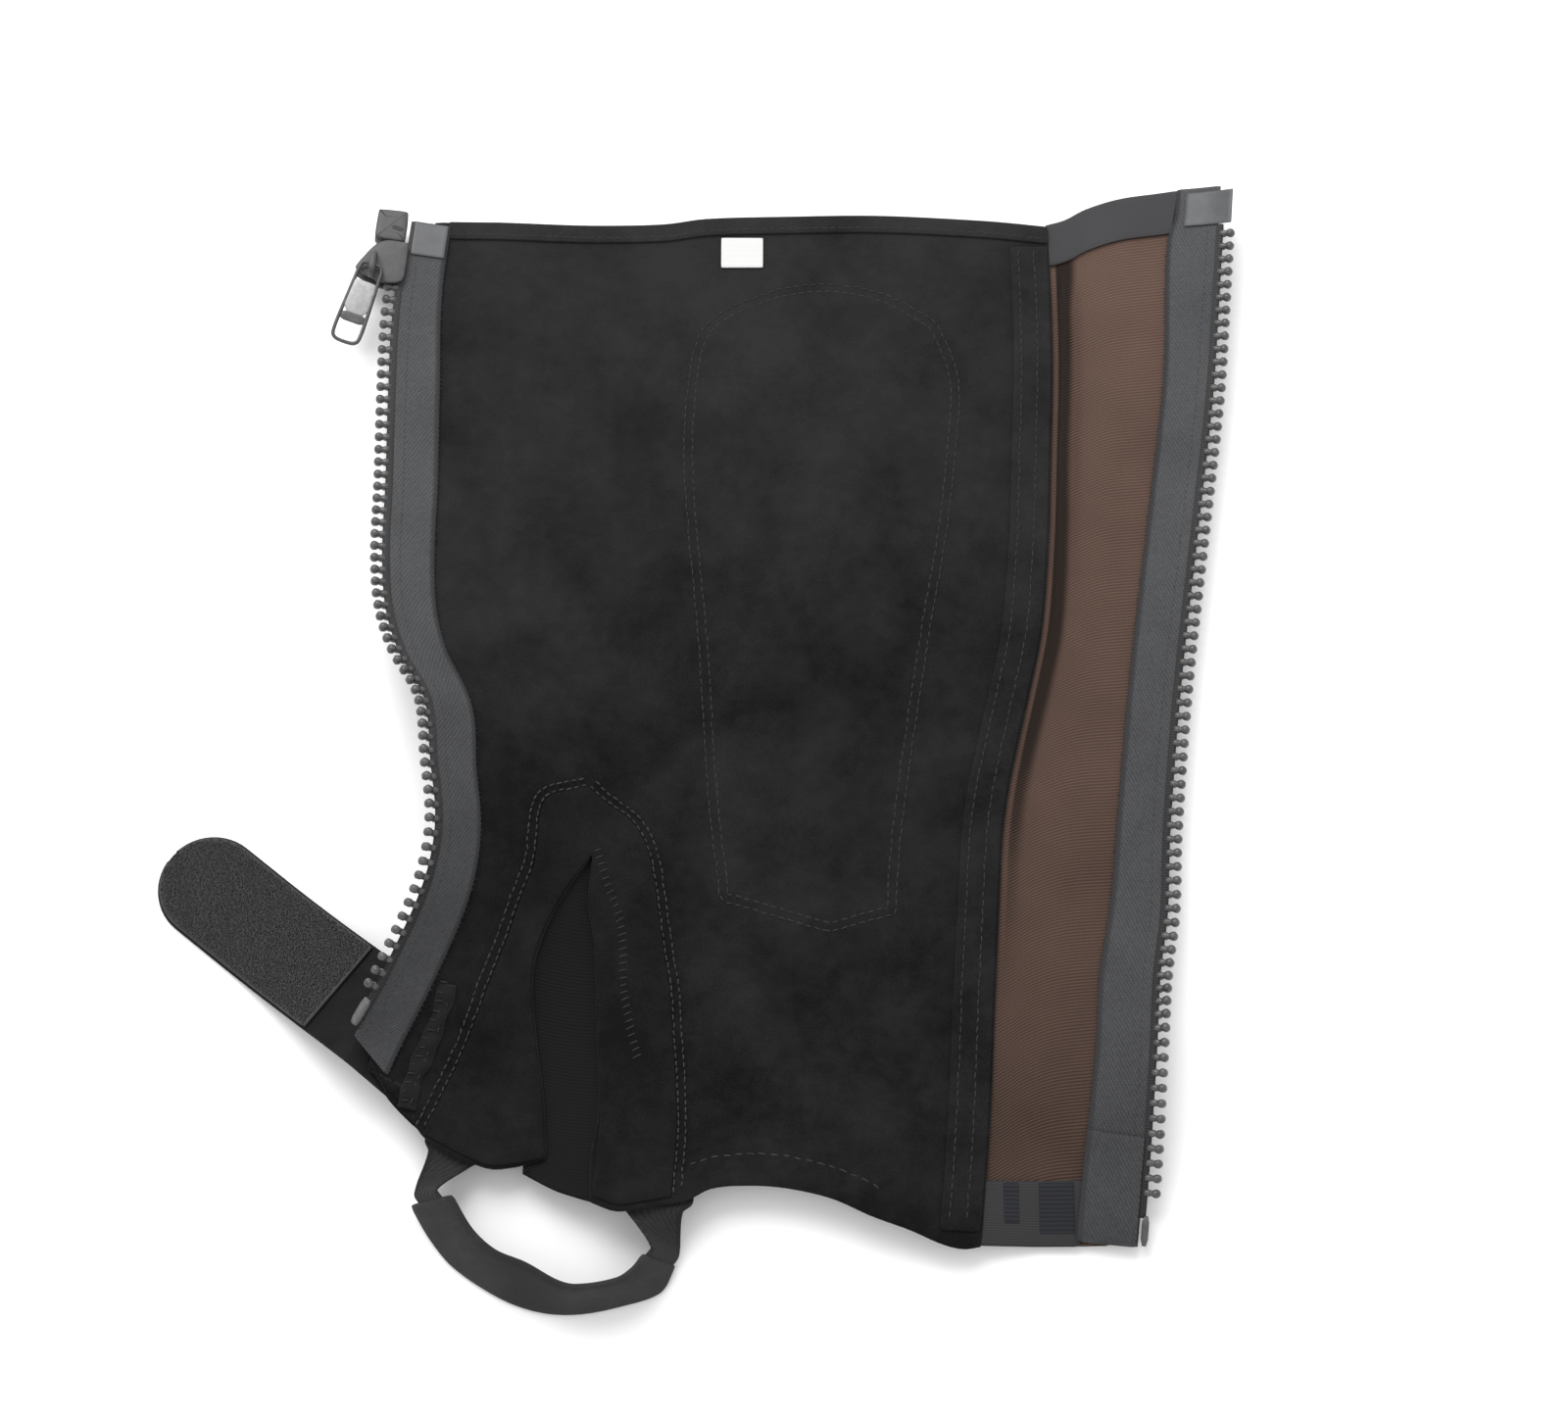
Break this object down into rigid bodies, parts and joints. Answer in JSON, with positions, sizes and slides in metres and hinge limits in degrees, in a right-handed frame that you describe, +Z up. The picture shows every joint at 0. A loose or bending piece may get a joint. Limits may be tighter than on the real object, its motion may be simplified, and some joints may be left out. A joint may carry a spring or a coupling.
{
  "type": "suede half chap, opened flat",
  "caption": "Black suede riding half chap lying open, inner side up, with a stretch panel, front zip, hook strap and stirrup strap.",
  "frame": {"origin": "middle of the lowest plane of the whole opened chap", "axes": "+Y toward the top hem of the leg, +X toward the rear zip edge, +Z up off the surface it lies on"},
  "size_m": [0.3473, 0.3728, 0.0445],
  "materials": {
    "suede": "black split suede, napped, very matt",
    "brown_elastic": "brown ribbed elastic, matt",
    "black_elastic": "black woven elastic, matt",
    "zip_tape": "dark grey twill tape",
    "zip_teeth": "moulded plastic, satin",
    "gunmetal": "gunmetal enamel on cast zinc, glossy",
    "film": "clear reinforcing film over the tape",
    "label": "white woven label, bare",
    "hook_pile": "black hook tape, matt"
  },
  "bodies": {
    "chap": {"calf_patch": "suede", "suede_panel": "suede", "top_hem": "suede", "rear_facing": "suede", "gusset_elastic": "black_elastic", "gusset_facing_front": "suede", "gusset_facing_rear": "suede", "size_label": "label", "elastic_panel": "brown_elastic", "elastic_top_band": "black_elastic", "elastic_bottom_band": "black_elastic", "zip_tape_front": "zip_tape", "zip_tape_rear": "zip_tape", "zip_film_front": "film", "zip_film_rear": "film", "zip_tab_rear": "zip_tape", "zip_teeth_front": "zip_teeth", "zip_teeth_rear": "zip_teeth", "zip_slider": "gunmetal", "zip_box": "zip_teeth", "zip_stop_front": "film", "zip_stop_rear": "zip_teeth", "hook_strap": "suede", "hook_pad": "hook_pile", "stirrup_strap": "suede", "stirrup_end_front": "black_elastic", "stirrup_end_rear": "black_elastic"},
    "zip_pull": {"zip_pull": "gunmetal"}
  },
  "joints": [
    {"name": "pull_swing", "type": "hinge", "parent": "chap", "child": "zip_pull", "pos_m": [-0.11313, 0.15641, 0.01547], "axis": [-0.9441, 0.2976, 0.1415], "range_deg": [0, 140]}
  ]
}
